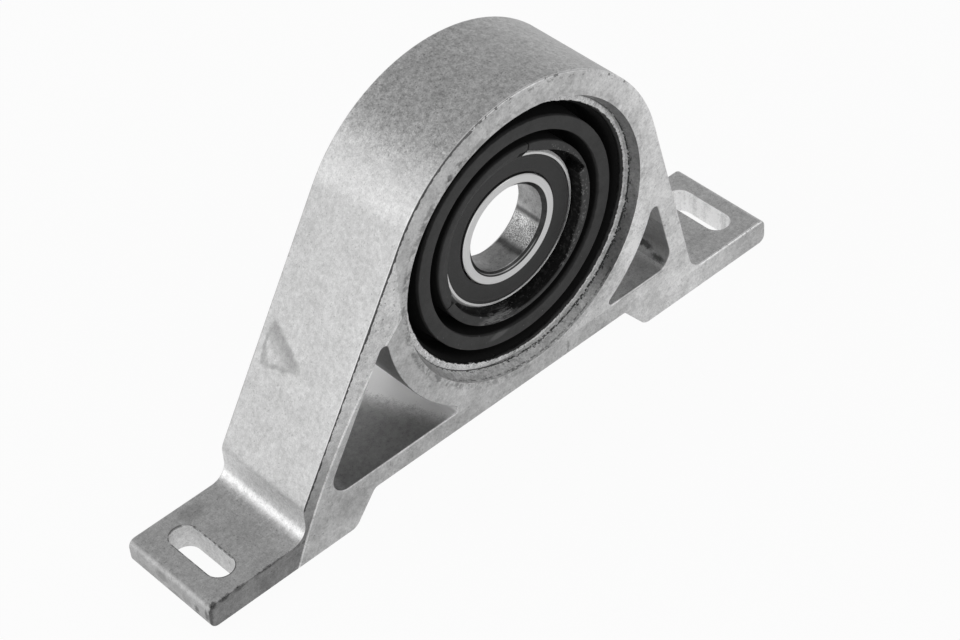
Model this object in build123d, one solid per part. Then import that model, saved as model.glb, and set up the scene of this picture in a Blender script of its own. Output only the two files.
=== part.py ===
from build123d import *
from math import cos, radians, sin
import os

# Driveshaft centre bearing: an arched aluminium bracket on two slotted feet holds a steel sleeve,
# the sleeve holds a rubber mount, and the rubber grips a sealed deep groove ball bearing.
# Sizes are in millimetres. X runs along the feet, Y along the shaft from front to rear, Z up.
# The origin is the middle of the ball bearing, on the shaft axis.

# Bracket
shaft_height = 68.0
bracket_depth = 40.0
arch_r = 57.8
left_lean = 31.9
right_lean = 12.5
left_leg_wall = 8.6
right_leg_wall = 7.0
left_reach = 136.0
right_reach = 107.3
foot_thickness = 9.5
foot_length = 58.0
foot_end_r = 2.8
foot_fillet_r = 6.0
left_heel_height = 21.7
recess_height = 11.0
recess_slope_run = 9.0
recess_heel_r = 4.0
recess_top_r = 2.0
web_thickness = 7.6
window_corner_r = 5.5
window_top_r = 1.9
window_tip_r = 1.5
rim_round = 0.6
slot_width = 9.5
slot_length = 27.0
left_slot_margin = 13.4
right_slot_margin = 12.0
lead_in_depth = 4.8
lead_in_flare = 1.8
facing_step = 0.25
facing_sweep_r = 211.0
facing_toe_inset = 8.6
facing_end_inset = 5.3
facing_end_rise = 2.0

# Steel sleeve
sleeve_r = 47.6
sleeve_wall = 2.3
sleeve_edge = 0.3

# Ball bearing
bore_r = 15.0
bearing_r = 27.5
bearing_width = 13.0
bearing_inset = 8.2
race_chamfer = 0.9
bore_chamfer = 1.4
inner_land_drop = 2.05
outer_race_wall = 3.1
shoulder_edge = 0.25
ball_r = 3.572
ball_count = 11
groove_ratio = 1.04
race_clearance = 0.1
cage_half_width = 1.55
cage_sheet = 0.7
pocket_clearance = 0.15
rivet_r = 0.6
rivet_head_r = 1.05
rivet_head = 0.3
rivet_clearance = 0.05
seal_seat_wall = 1.6
seal_thickness = 1.1
seal_inset = 0.3
seal_lip_gap = 0.4
seal_seat_gap = 0.05

# Rubber mount
lining = 1.2
lining_inset = 1.6
rib_share = 0.39
rib_inset = 4.8
rib_flare = 0.8
groove_depth = 13.5
groove_floor_r = 0.9
collar_wall = 4.6
collar_inset = 5.0
collar_lead = 0.9
collar_rim = 2.0
collar_draft = 0.5
web_rubber = 5.5
lip_hold = 1.6
lip_thickness = 0.6
rear_lip_thickness = 2.0
pocket_depth = 9.0
wide_pocket = 1.2
narrow_pocket = 3.1
rough_pocket = 1.4
rough_pocket_depth = 2.4

# Where the collar changes round the shaft: degrees from +X towards +Z, seen from the front
lip_start = 75.0
lip_end = 202.0
pocket_start = -97.0
pocket_step = -37.0
pocket_end = 16.0

# Places that follow from the sizes above
half_width = bearing_width / 2
front_y = -(bearing_inset + half_width)
rear_y = front_y + bracket_depth
base_z = -shaft_height
foot_z = base_z + foot_thickness
recess_z = base_z + recess_height
web_z = recess_z + web_thickness
sleeve_bore_r = sleeve_r - sleeve_wall
lining_r = sleeve_bore_r - lining
slot_xs = (left_slot_margin - left_reach, right_reach - right_slot_margin)
pitch_r = (bore_r + bearing_r) / 2
inner_shoulder_r = pitch_r - inner_land_drop
outer_shoulder_r = bearing_r - outer_race_wall
seal_seat_r = bearing_r - seal_seat_wall
lip_r = bearing_r - lip_hold
collar_r = bearing_r + collar_wall
ring_groove = (lining_r - collar_r) * (1 - rib_share) / 2
rib_inner_r = collar_r + ring_groove
rib_outer_r = lining_r - ring_groove
groove_r = ball_r * groove_ratio
turn_axis = Axis((0, 0, 0), (0, -1, 0))


def front_sketch(sketch, y):
    """Stand a sketch of (x, z) points up in the plane at y, seen from the front."""
    return Plane(origin=(0, y, 0), x_dir=(1, 0, 0), z_dir=(0, -1, 0)) * sketch


def prism(sketch, y_start, y_end):
    """Run an (x, z) sketch along the shaft from y_start to y_end."""
    return extrude(front_sketch(sketch, y_start), amount=y_start - y_end)


def ring(points):
    """Turn a closed half section of (radius, y) points about the shaft axis."""
    return revolve(make_face(Polyline(*points, close=True)), turn_axis)


def sector(points, start, end):
    """Part of a turned ring, from one angle to another round the shaft."""
    piece = revolve(make_face(Polyline(*points, close=True)), turn_axis, revolution_arc=end - start)
    return piece.rotate(turn_axis, start)


def rounded(sketch, corners):
    """Round the sketch's corners nearest to the given points."""
    for point, radius in corners:
        corner = sketch.vertices().sort_by_distance(Vector(point[0], point[1], 0))[0]
        sketch = fillet(corner, radius)
    return sketch


def leg_x(side, lean, z, inset=0.0):
    """X at height z on a leg's outer face, which touches the arch, or inset inside that face."""
    tilt = radians(lean)
    return side * (arch_r - inset - z * sin(tilt)) / cos(tilt)


def touch_point(side, lean, radius):
    """The point of a circle about the shaft where a line with the leg's lean touches it."""
    return side * radius * cos(radians(lean)), radius * sin(radians(lean))


def bracket_outline():
    left_touch = touch_point(-1, left_lean, arch_r)
    right_touch = touch_point(1, right_lean, arch_r)
    heel_z = base_z + left_heel_height
    left_heel = (leg_x(-1, left_lean, heel_z), heel_z)
    left_root = (left_heel[0], foot_z)
    right_root = (leg_x(1, right_lean, foot_z), foot_z)
    left_end = -left_reach
    right_end = right_reach
    left_pad = left_end + foot_length
    right_pad = right_end - foot_length
    left_recess = (left_pad + recess_slope_run, recess_z)
    right_recess = (right_pad - recess_slope_run, recess_z)
    arch = ThreePointArc(right_touch, (0, arch_r), left_touch)
    feet = Polyline(
        left_touch, left_heel, left_root, (left_end, foot_z), (left_end, base_z), (left_pad, base_z),
        left_recess, right_recess, (right_pad, base_z), (right_end, base_z), (right_end, foot_z),
        right_root, right_touch,
    )
    return rounded(make_face([arch, feet]), [
        ((left_end, foot_z), foot_end_r), ((left_end, base_z), foot_end_r),
        ((right_end, foot_z), foot_end_r), ((right_end, base_z), foot_end_r),
        (left_heel, foot_fillet_r), (left_root, foot_fillet_r), (right_root, foot_fillet_r),
        ((left_pad, base_z), recess_heel_r), ((right_pad, base_z), recess_heel_r),
        (left_recess, recess_top_r), (right_recess, recess_top_r),
    ])


def window(side, lean, wall):
    """The opening between one leg, the ring round the bore and the web between the feet."""
    corner = (leg_x(side, lean, web_z, wall), web_z)
    inner_touch = touch_point(side, lean, arch_r - wall)
    hole = make_face(Polyline(corner, inner_touch, (0, web_z), close=True)) - Circle(arch_r)
    points = hole.vertices()
    top = points.sort_by(Axis.Y)[-1]
    tip = points.sort_by(Axis.X)[-1 if side < 0 else 0]
    return rounded(hole, [
        (corner, window_corner_r), ((top.X, top.Y), window_top_r), ((tip.X, tip.Y), window_tip_r),
    ])


def slot(x):
    """Cutter for a foot's bolt slot, which runs along the shaft."""
    middle_y = (front_y + rear_y) / 2
    shape = Pos(x, middle_y, base_z - 1) * SlotOverall(slot_length, slot_width, rotation=90)
    return extrude(shape, amount=foot_thickness + 2)


def bore_cutter():
    """The bore for the sleeve, with a flared lead-in at each face."""
    mouth_r = sleeve_r + lead_in_flare
    return ring([
        (0, front_y), (mouth_r, front_y), (sleeve_r, front_y + lead_in_depth),
        (sleeve_r, rear_y - lead_in_depth), (mouth_r, rear_y), (0, rear_y),
    ])


def facing_cutter():
    """The band outside the facing cutter's sweep, which stands a little lower on the left leg."""
    toe = (leg_x(-1, left_lean, base_z) + facing_toe_inset, base_z)
    ring_end = (facing_end_inset - arch_r, facing_end_rise)
    outside = -left_reach - 1
    sweep = RadiusArc(toe, ring_end, facing_sweep_r)
    edge = Polyline(ring_end, (outside, facing_end_rise), (outside, base_z), toe)
    return prism(make_face([sweep, edge]), front_y - 1, front_y + facing_step)


def rim_edges(body):
    """Edges round the front and the rear face."""
    boxes = [(edge, edge.bounding_box()) for edge in body.edges()]
    return [
        edge for edge, box in boxes
        if any(abs(box.min.Y - y) < 0.01 and abs(box.max.Y - y) < 0.01 for y in (front_y, rear_y))
    ]


def bracket():
    body = prism(bracket_outline(), front_y, rear_y)
    for side, lean, wall in ((-1, left_lean, left_leg_wall), (1, right_lean, right_leg_wall)):
        body -= prism(window(side, lean, wall), front_y - 1, rear_y + 1)
    body = fillet(rim_edges(body), rim_round)
    body -= facing_cutter()
    body -= bore_cutter()
    for x in slot_xs:
        body -= slot(x)
    return body


def outer_sleeve():
    inner = sleeve_bore_r
    start = front_y + lead_in_depth
    end = rear_y - lead_in_depth
    return ring([
        (inner, start + sleeve_edge), (inner + sleeve_edge, start), (sleeve_r - sleeve_edge, start),
        (sleeve_r, start + sleeve_edge), (sleeve_r, end - sleeve_edge), (sleeve_r - sleeve_edge, end),
        (inner + sleeve_edge, end), (inner, end - sleeve_edge),
    ])


def rubber_section():
    """Half section of the rubber: lining, outer groove, rib, inner groove and collar."""
    start = front_y + lead_in_depth + lining_inset
    rib_y = front_y + rib_inset
    floor_y = rib_y + groove_depth
    back_y = floor_y + web_rubber
    collar_y = front_y + collar_inset
    rear_lip_y = half_width + rear_lip_thickness
    rib_root_in = rib_inner_r - rib_flare
    rib_root_out = rib_outer_r + rib_flare
    collar_root = collar_r + collar_draft
    # The grooves' floor corners are no wider than the inner groove leaves room for
    c = min(groove_floor_r, (rib_root_in - collar_root) / 2.2)
    return [
        (sleeve_bore_r, start), (lining_r, start + lining), (lining_r, floor_y - c), (lining_r - c, floor_y),
        (rib_root_out + c, floor_y), (rib_root_out, floor_y - c), (rib_outer_r, rib_y), (rib_inner_r, rib_y),
        (rib_root_in, floor_y - c), (rib_root_in - c, floor_y), (collar_root + c, floor_y),
        (collar_root, floor_y - c), (collar_r, collar_y), (bearing_r + collar_lead, collar_y),
        (bearing_r, -half_width), (bearing_r, half_width), (lip_r, half_width), (lip_r, rear_lip_y),
        (collar_r, rear_lip_y), (collar_r + lining, back_y), (lining_r - lining, back_y),
        (lining_r, back_y + lining), (sleeve_bore_r, back_y + lining),
    ]


def rubber_mount():
    body = ring(rubber_section())
    collar_y = front_y + collar_inset
    race_y = -half_width
    rim_r = collar_r - collar_rim
    lip = [(rim_r, collar_y), (lip_r, race_y - lip_thickness), (lip_r, race_y), (rim_r, race_y)]
    body += sector(lip, lip_start, lip_end)
    pockets = (
        (wide_pocket, pocket_depth, pocket_step, pocket_end),
        (narrow_pocket, pocket_depth, pocket_start, pocket_step),
        (rough_pocket, rough_pocket_depth, lip_end - 360, pocket_start),
    )
    for width, depth, start, end in pockets:
        inner, outer = lip_r, bearing_r + width
        top, floor = collar_y - 1, collar_y + depth
        body -= sector([(inner, top), (outer, top), (outer, floor), (inner, floor)], start, end)
    return body


def raceway(wall_r):
    """Ring of the groove that the balls run in, for the race whose groove reaches wall_r."""
    centre = wall_r + groove_r if wall_r < pitch_r else wall_r - groove_r
    return revolve(Pos(centre, 0) * Circle(groove_r), turn_axis)


def inner_race():
    c = bore_chamfer
    w = half_width
    e = shoulder_edge
    body = ring([
        (bore_r, -w + c), (bore_r + c, -w), (inner_shoulder_r - e, -w), (inner_shoulder_r, -w + e),
        (inner_shoulder_r, w - e), (inner_shoulder_r - e, w), (bore_r + c, w), (bore_r, w - c),
    ])
    return body - raceway(pitch_r - ball_r - race_clearance)


def outer_race():
    c = race_chamfer
    w = half_width
    seat = w - seal_inset - seal_thickness
    body = ring([
        (bearing_r, -w + c), (bearing_r - c, -w), (seal_seat_r, -w), (seal_seat_r, -seat),
        (outer_shoulder_r, -seat), (outer_shoulder_r, seat), (seal_seat_r, seat), (seal_seat_r, w),
        (bearing_r - c, w), (bearing_r, w - c),
    ])
    return body - raceway(pitch_r + ball_r + race_clearance)


def seal(side):
    """Rubber-faced seal in the outer race's seat, with a lip near the inner race."""
    face = side * (half_width - seal_inset)
    back = side * (half_width - seal_inset - seal_thickness)
    rim = seal_seat_r - seal_seat_gap
    lip = inner_shoulder_r + seal_lip_gap
    bevel = side * seal_inset
    return ring([
        (rim, face - bevel), (rim - seal_inset, face), (lip + seal_inset, face), (lip, face - bevel),
        (lip, back), (rim, back),
    ])


def ball(index):
    angle = radians(360 / ball_count * index)
    return Pos(pitch_r * cos(angle), 0, pitch_r * sin(angle)) * Sphere(ball_r)


def cage_half(side):
    """Pressed ribbon with an arched pocket over each ball and a riveted land between balls."""
    inner = pitch_r - cage_half_width
    outer = pitch_r + cage_half_width
    pocket = ball_r + pocket_clearance
    reach = pocket + cage_sheet
    between = 180 / ball_count
    body = ring([(inner, 0), (outer, 0), (outer, side * cage_sheet), (inner, side * cage_sheet)])
    band = ring([(inner, 0), (outer, 0), (outer, side * (reach + 1)), (inner, side * (reach + 1))])
    body = body.rotate(turn_axis, between)
    band = band.rotate(turn_axis, between)
    for index in range(ball_count):
        body += band & pocket_bar(index, reach)
    for index in range(ball_count):
        body -= pocket_bar(index, pocket)
        body -= rivet_hole(index)
    return body


def pocket_bar(index, radius):
    """A round bar that points out from the shaft through a ball."""
    bar = Pos(pitch_r, 0, 0) * Rot(0, 90, 0) * Cylinder(radius, 4 * cage_half_width)
    return bar.rotate(turn_axis, 360 / ball_count * index)


def rivet_hole(index):
    """A round cutter along the shaft, half way between two balls."""
    cutter = Pos(pitch_r, 0, 0) * Rot(90, 0, 0) * Cylinder(rivet_r + rivet_clearance, 4 * cage_sheet)
    return cutter.rotate(turn_axis, 360 / ball_count * (index + 0.5))


def cage_rivets():
    """One rivet turned from its half section and repeated half way between the balls."""
    top = cage_sheet + rivet_head
    half = [
        (0, -top), (rivet_head_r, -top), (rivet_head_r, -cage_sheet), (rivet_r, -cage_sheet),
        (rivet_r, cage_sheet), (rivet_head_r, cage_sheet), (rivet_head_r, top), (0, top),
    ]
    rivet = Pos(pitch_r, 0, 0) * ring(half)
    return Compound([
        rivet.rotate(turn_axis, 360 / ball_count * (index + 0.5)).solid() for index in range(ball_count)
    ])


def main():
    os.makedirs("parts", exist_ok=True)
    nodes = {
        "bracket": bracket(),
        "outer_sleeve": outer_sleeve(),
        "rubber_mount": rubber_mount(),
        "outer_race": outer_race(),
        "inner_race": inner_race(),
        "front_seal": seal(-1),
        "rear_seal": seal(1),
        "cage_front": cage_half(-1),
        "cage_rear": cage_half(1),
        "cage_rivets": cage_rivets(),
    }
    for index in range(ball_count):
        nodes[f"ball_{index + 1:02d}"] = ball(index)
    for name, shape in nodes.items():
        export_step(shape, f"parts/{name}.step")


if __name__ == "__main__":
    main()
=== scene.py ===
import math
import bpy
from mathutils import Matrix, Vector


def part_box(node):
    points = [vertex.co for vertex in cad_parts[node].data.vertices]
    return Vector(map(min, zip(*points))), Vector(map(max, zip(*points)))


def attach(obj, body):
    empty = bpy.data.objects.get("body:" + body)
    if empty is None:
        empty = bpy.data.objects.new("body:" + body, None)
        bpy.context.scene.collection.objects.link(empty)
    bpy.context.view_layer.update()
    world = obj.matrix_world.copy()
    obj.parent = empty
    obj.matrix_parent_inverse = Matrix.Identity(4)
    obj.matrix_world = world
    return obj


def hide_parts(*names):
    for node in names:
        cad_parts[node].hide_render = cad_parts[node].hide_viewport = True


bl_info = {
    "name": "Driveshaft Centre Bearing",
    "version": (1, 0, 0),
    "blender": (4, 5, 0),
    "location": "3D View > Sidebar > Centre Bearing",
    "description": "Finishes the pieces of a driveshaft centre bearing and sets up a studio round it",
    "category": "Object",
}

import bmesh
import bpy
from bpy.props import FloatProperty, FloatVectorProperty, IntProperty, PointerProperty
from mathutils import Matrix, Vector, noise

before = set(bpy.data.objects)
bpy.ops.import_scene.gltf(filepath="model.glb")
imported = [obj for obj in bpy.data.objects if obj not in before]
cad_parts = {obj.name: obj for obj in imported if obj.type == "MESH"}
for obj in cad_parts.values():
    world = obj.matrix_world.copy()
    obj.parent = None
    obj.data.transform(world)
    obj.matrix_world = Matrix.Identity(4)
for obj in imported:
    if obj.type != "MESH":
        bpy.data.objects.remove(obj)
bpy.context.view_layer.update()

MM = 0.001
SHAFT = (0.0, 0.0, 0.0)

# Boxes of the pieces that the finishes and the modelled pieces are measured from
bracket_low, bracket_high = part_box("bracket")
sleeve_low, sleeve_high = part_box("outer_sleeve")
rubber_low, rubber_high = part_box("rubber_mount")
race_low, race_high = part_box("outer_race")
seal_low, seal_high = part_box("front_seal")

# Where the rubber collar changes round the shaft: degrees from +X towards +Z, seen from the front
LIP_START = 76.0
LIP_TAPER = 172.0
LIP_END = 201.0
ROUGH_END = 263.0
NARROW_END = 312.0
WIDE_END = 375.0

# How far those changes reach: degrees either side of a slit, degrees past the narrow stretch where the pocket
# still narrows, and the share of the full stretch that the upper slit opens
SLIT_REACH = 0.4
NARROWING = 20.0
OPENED_SHARE = 0.23

# Places on the bracket, in millimetres from the shaft
LEFT_END = -134.2
LEFT_HEEL = -95.0
RIGHT_HEEL = 60.0
WEB_TOP = -49.4


def number(name, description, value):
    return FloatProperty(name=name, description=description, default=value)


def angle_in_degrees(name, description, degrees):
    return FloatProperty(name=name, description=description, default=math.radians(degrees), subtype="ANGLE")


def length(name, description, size_mm):
    """A size in metres, written here in millimetres."""
    return FloatProperty(name=name, description=description, default=size_mm * MM, unit="LENGTH", precision=5)


def tone(name, description, value):
    """A neutral grey of the given linear value."""
    return FloatVectorProperty(
        name=name, description=description, subtype="COLOR", min=0, max=1, default=(value, value, value),
    )


class CentreBearingStudio(bpy.types.PropertyGroup):
    lens: number("Lens", "Focal length in millimetres on a 36 mm sensor", 104.3)
    distance: length("Distance", "Distance from the camera to the point that it looks at", 856.8)
    azimuth: angle_in_degrees("Azimuth", "Angle of the camera round the object", -39.48)
    elevation: angle_in_degrees("Elevation", "Angle of the camera above the floor", 42.49)
    roll: angle_in_degrees("Roll", "Turn of the camera about its own line of sight", -5.07)
    target: FloatVectorProperty(
        name="Target", description="Point that the camera looks at", default=(-0.0215, -0.0147, -0.0183),
        subtype="TRANSLATION", unit="LENGTH",
    )
    floor_size: length("Floor size", "Width of the square floor", 9000)
    floor_colour: tone("Floor colour", "Colour of the floor", 0.85)
    floor_light: number("Floor whiteness", "Share of white that the camera sees in the floor", 0.94)
    front_gloss: number("Front floor in metal", "Share of white that metal sees in the floor in front", 0.27)
    rear_gloss: number("Rear floor in metal", "Share of white that metal sees in the floor behind", 0.62)
    deep_gloss: number("Floor in hollows", "Share of white that the floor lends to light in a hollow", 0.9)
    horizon: number("Horizon", "Brightness of the room at the horizon", 0.81)
    ceiling: number("Ceiling", "Brightness of the room overhead", 0.43)
    left_power: number("Left light", "Power of the left softbox in watts", 4.6)
    front_power: number("Front light", "Power of the front softbox in watts", 3.0)


class CentreBearingBracket(bpy.types.PropertyGroup):
    skin_colour: tone("Skin colour", "Colour of the outside of the casting", 0.56)
    face_colour: tone("Face colour", "Colour of the milled faces", 0.64)
    bore_colour: tone("Bore colour", "Colour of the flared mouth of the bore", 0.2)
    grain_size: length("Grain size", "Size of the speckle on the outside", 0.5)
    mill_spacing: length("Mill line spacing", "Spacing of the cutter's lines on the faces", 0.5)
    face_depth: length("Face depth", "Depth behind the front that counts as the milled face", 0.35)
    rim_width: length("Rim width", "Width of the rounded edge round the faces", 0.7)
    arch_radius: length("Arch radius", "Outer radius of the arch", 57.8)
    left_lean: angle_in_degrees("Left lean", "Lean of the left leg", 31.9)
    sweep_radius: length("Sweep radius", "Reach of the facing cutter's sweep", 211.0)
    sweep_centre_x: length("Sweep centre X", "Centre of the facing cutter's sweep", 91.7)
    sweep_centre_z: length("Sweep centre Z", "Centre of the facing cutter's sweep", -151.9)
    sweep_end_x: length("Sweep end X", "Where the edge of the sweep runs out at the ring", -51.5)
    mouth_flare: length("Mouth flare", "Flare of the bore's mouth outside the sleeve", 1.8)
    left_slot_x: length("Left slot X", "Middle of the left foot's slot", -122.6)
    right_slot_x: length("Right slot X", "Middle of the right foot's slot", 95.3)
    slot_width: length("Slot width", "Width of both slots", 9.5)
    slot_length: length("Slot length", "Length of both slots along the shaft", 27.0)
    foot_top: length("Foot top", "Height of the feet's tops", -58.5)


class CentreBearingSleeve(bpy.types.PropertyGroup):
    colour: tone("Steel colour", "Colour of the sleeve's torn edge", 0.78)
    wall: length("Wall", "Wall of the sleeve", 2.3)
    edge: length("Edge", "Break of the outer edges", 0.3)
    burr: length("Burr", "Unevenness of the inner edge", 0.35)
    steps: IntProperty(name="Steps", description="Faces round the sleeve", default=480)


class CentreBearingRubber(bpy.types.PropertyGroup):
    colour: tone("Rubber colour", "Colour of the rubber", 0.044)
    lining: length("Lining", "Rubber inside the sleeve", 1.2)
    lining_inset: length("Lining inset", "Depth of the lining's front end inside the sleeve", 1.6)
    rib_width: length("Rib width", "Width of the ring between the two grooves", 4.68)
    inner_groove: length("Inner groove", "Width of the groove round the collar", 3.66)
    rib_flare: length("Rib flare", "Growth of the rib towards its foot, each side", 0.8)
    groove_depth: length("Groove depth", "Depth of both grooves", 13.5)
    groove_floor: length("Groove floor radius", "Rounding at the grooves' floors", 0.9)
    web: length("Web", "Rubber behind the grooves", 5.5)
    collar_wall: length("Collar wall", "Rubber round the bearing", 4.6)
    collar_inset: length("Collar inset", "Depth of the collar's front behind the bracket's front", 5.0)
    collar_lead: length("Collar lead", "Widening of the collar towards its front", 0.7)
    collar_rim: length("Collar rim", "Width of the flat on the collar's front", 2.0)
    lip_hold: length("Lip hold", "How far the lip reaches over the race", 1.6)
    lip_thickness: length("Lip thickness", "Rubber on the race's face", 0.6)
    rear_lip: length("Rear lip", "Rubber behind the bearing", 2.0)
    pocket_depth: length("Pocket depth", "Depth of the pockets in the collar", 9.0)
    wide_pocket: length("Wide stretch pocket", "Width of the pocket along the wide strip", 1.2)
    narrow_pocket: length("Narrow stretch pocket", "Width of the pocket along the thin strip", 3.1)
    rough_pocket: length("Rough tab pocket", "Width of the shallow pocket along the rough tab", 1.4)
    rough_depth: length("Rough tab depth", "Depth of the shallow pocket", 2.4)
    slit_opening: length("Slit opening", "Widening of the collar's front beside the upper slit", 1.5)
    torn_edge: length("Torn edge", "How far the full stretch's inner edge is torn away at its lower end", 3.3)
    torn_depth: length("Torn depth", "Depth of the hole at the lower end of the full stretch", 6.0)
    slit_drop: length("Slit drop", "Extra depth of the full stretch's inside beside the upper slit", 2.2)
    slit_depth: length("Slit depth", "Depth of the two slits across the collar", 1.6)
    flash: length("Flash", "Reach of the thin rubber film over the sleeve's edge", 0.5)
    lumps: length("Lumps", "Unevenness of the moulded rims", 0.12)
    steps: IntProperty(name="Steps", description="Faces round the mount", default=720)


class CentreBearingBearing(bpy.types.PropertyGroup):
    steel_colour: tone("Ring colour", "Colour of the ground rings", 0.82)
    bore_colour: tone("Bore colour", "Colour inside the inner ring", 0.42)
    # Painted shade: the chamfers' colour is made dark
    chamfer_shade_colour: tone("Chamfer colour", "Colour of the inner ring's chamfers", 0.06)
    seal_colour: tone("Seal colour", "Colour of the seals' rubber", 0.022)
    cage_colour: tone("Cage colour", "Colour of the pressed cage", 0.5)
    ball_colour: tone("Ball colour", "Colour of the balls", 0.75)
    bore_radius: length("Bore radius", "Radius of the shaft's seat", 15.0)
    inner_wall: length("Inner ring wall", "Wall of the inner ring at its shoulder", 4.2)
    bore_chamfer: length("Bore chamfer", "Chamfer at the ends of the shaft's seat", 1.4)
    seal_thickness: length("Seal thickness", "Thickness of a seal", 1.1)
    seal_lip_gap: length("Seal lip gap", "Gap between a seal and the inner ring", 0.4)
    seal_step: length("Seal step", "Depth of the moulded step in a seal's face", 0.15)
    seal_steps: IntProperty(name="Seal steps", description="Faces round a seal", default=240)
    grind_spacing: length("Grinding spacing", "Spacing of the rings' grinding lines", 0.12)


class Graph:
    """Adds the nodes of one material, world or group, and joins them."""

    def __init__(self, tree):
        self.tree = tree

    def add(self, kind, inputs=None, **settings):
        """A node with its settings, and its inputs set to values or joined to other nodes' outputs."""
        node = self.tree.nodes.new("ShaderNode" + kind)
        for name, value in settings.items():
            setattr(node, name, value)
        for name, value in (inputs or {}).items():
            self.feed(node.inputs[name], value)
        return node

    def feed(self, socket, value):
        if isinstance(value, bpy.types.NodeSocket):
            self.tree.links.new(value, socket)
        else:
            socket.default_value = value

    def math(self, operation, first, second=0.0, clamp=False):
        return self.add("Math", {0: first, 1: second}, operation=operation, use_clamp=clamp).outputs[0]

    def plus(self, first, second, clamp=False):
        return self.math("ADD", first, second, clamp)

    def minus(self, first, second):
        return self.math("SUBTRACT", first, second)

    def product(self, first, *others):
        for other in others:
            first = self.math("MULTIPLY", first, other)
        return first

    def ratio(self, first, second):
        return self.math("DIVIDE", first, second)

    def most(self, first, *others):
        for other in others:
            first = self.math("MAXIMUM", first, other)
        return first

    def smooth_most(self, first, second, soft):
        return self.add("Math", {0: first, 1: second, 2: soft}, operation="SMOOTH_MAX").outputs[0]

    def below(self, value, limit):
        return self.math("LESS_THAN", value, limit)

    def above(self, value, limit):
        return self.math("GREATER_THAN", value, limit)

    def swing(self, value, reach):
        """A noise of about 0 to 1, made to swing by reach about 0."""
        return self.product(self.minus(value, 0.5), reach)

    def span(self, value, low, high, to_low=0.0, to_high=1.0):
        """Carries value from one range to another, smoothly and no further."""
        inputs = {"Value": value, "From Min": low, "From Max": high, "To Min": to_low, "To Max": to_high}
        return self.add("MapRange", inputs, interpolation_type="SMOOTHSTEP").outputs["Result"]

    def between(self, value, low, high, soft):
        """1 where value lies between low and high, fading over soft at each end."""
        rise = self.span(value, low - soft, low + soft)
        fall = self.span(value, high - soft, high + soft, 1.0, 0.0)
        return self.product(rise, fall)

    def shade(self, tone_value, mask, change):
        """The tone, multiplied by change where the mask is 1."""
        factor = self.add("Math", {0: mask, 1: change - 1.0, 2: 1.0}, operation="MULTIPLY_ADD").outputs[0]
        return self.product(tone_value, factor)

    def shades(self, tone_value, *changes):
        """The tone, shaded by each pair of a mask and its change in turn."""
        for mask, change in changes:
            tone_value = self.shade(tone_value, mask, change)
        return tone_value

    def spot(self, place, centre, half_sizes):
        """1 in the middle of a patch with soft edges. Its centre and half sizes are in millimetres."""
        reach = self.reach(self.scaled(self.offset(place, centre), [1 / size for size in half_sizes]))
        return self.span(reach, 0.55, 1.15, 1.0, 0.0)

    def vector(self, x, y, z=0.0):
        return self.add("CombineXYZ", {"X": x, "Y": y, "Z": z}).outputs[0]

    def scaled(self, vector, factors):
        return self.add("VectorMath", {0: vector, 1: factors}, operation="MULTIPLY").outputs[0]

    def offset(self, vector, centre):
        return self.add("VectorMath", {0: vector, 1: centre}, operation="SUBTRACT").outputs[0]

    def reach(self, vector):
        """How long a vector is."""
        return self.add("VectorMath", {0: vector}, operation="LENGTH").outputs["Value"]

    def noise(self, vector, scale, detail=2.0, roughness=0.5):
        inputs = {"Vector": vector, "Scale": scale, "Detail": detail, "Roughness": roughness}
        return self.add("TexNoise", inputs).outputs["Fac"]

    def blend(self, factor, first, second):
        """A number between first and second."""
        return self.add("Mix", {0: factor, 2: first, 3: second}).outputs[0]

    def mix(self, factor, first, second):
        """A colour between first and second."""
        node = self.add("Mix", data_type="RGBA")
        self.feed(node.inputs[0], factor)
        self.feed(node.inputs[6], first)
        self.feed(node.inputs[7], second)
        return node.outputs[2]

    def tint(self, base, tone_value):
        """A colour, or another node's colour, made lighter or darker by a number."""
        return self.add("VectorMath", {0: base, "Scale": tone_value}, operation="SCALE").outputs[0]

    def group(self, group, inputs):
        node = self.tree.nodes.new("ShaderNodeGroup")
        node.node_tree = group
        for name, value in inputs.items():
            self.feed(node.inputs[name], value)
        return node.outputs


def new_group(name, vectors, numbers):
    """An empty node group that puts out a tone and a height: its tree, graph, inputs and outputs."""
    tree = bpy.data.node_groups.new(name, "ShaderNodeTree")
    sockets = [(vector, "INPUT", "Vector") for vector in vectors]
    sockets += [(number, "INPUT", "Float") for number in numbers]
    sockets += [("Tone", "OUTPUT", "Float"), ("Height", "OUTPUT", "Float")]
    for socket, in_out, kind in sockets:
        tree.interface.new_socket(socket, in_out=in_out, socket_type="NodeSocket" + kind)
    entry = tree.nodes.new("NodeGroupInput").outputs
    out = tree.nodes.new("NodeGroupOutput").inputs
    return tree, Graph(tree), entry, out


def shaft_radius(graph, x, z):
    """Distance from the shaft's axis."""
    return graph.math("SQRT", graph.plus(graph.math("POWER", x, 2.0), graph.math("POWER", z, 2.0)))


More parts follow.
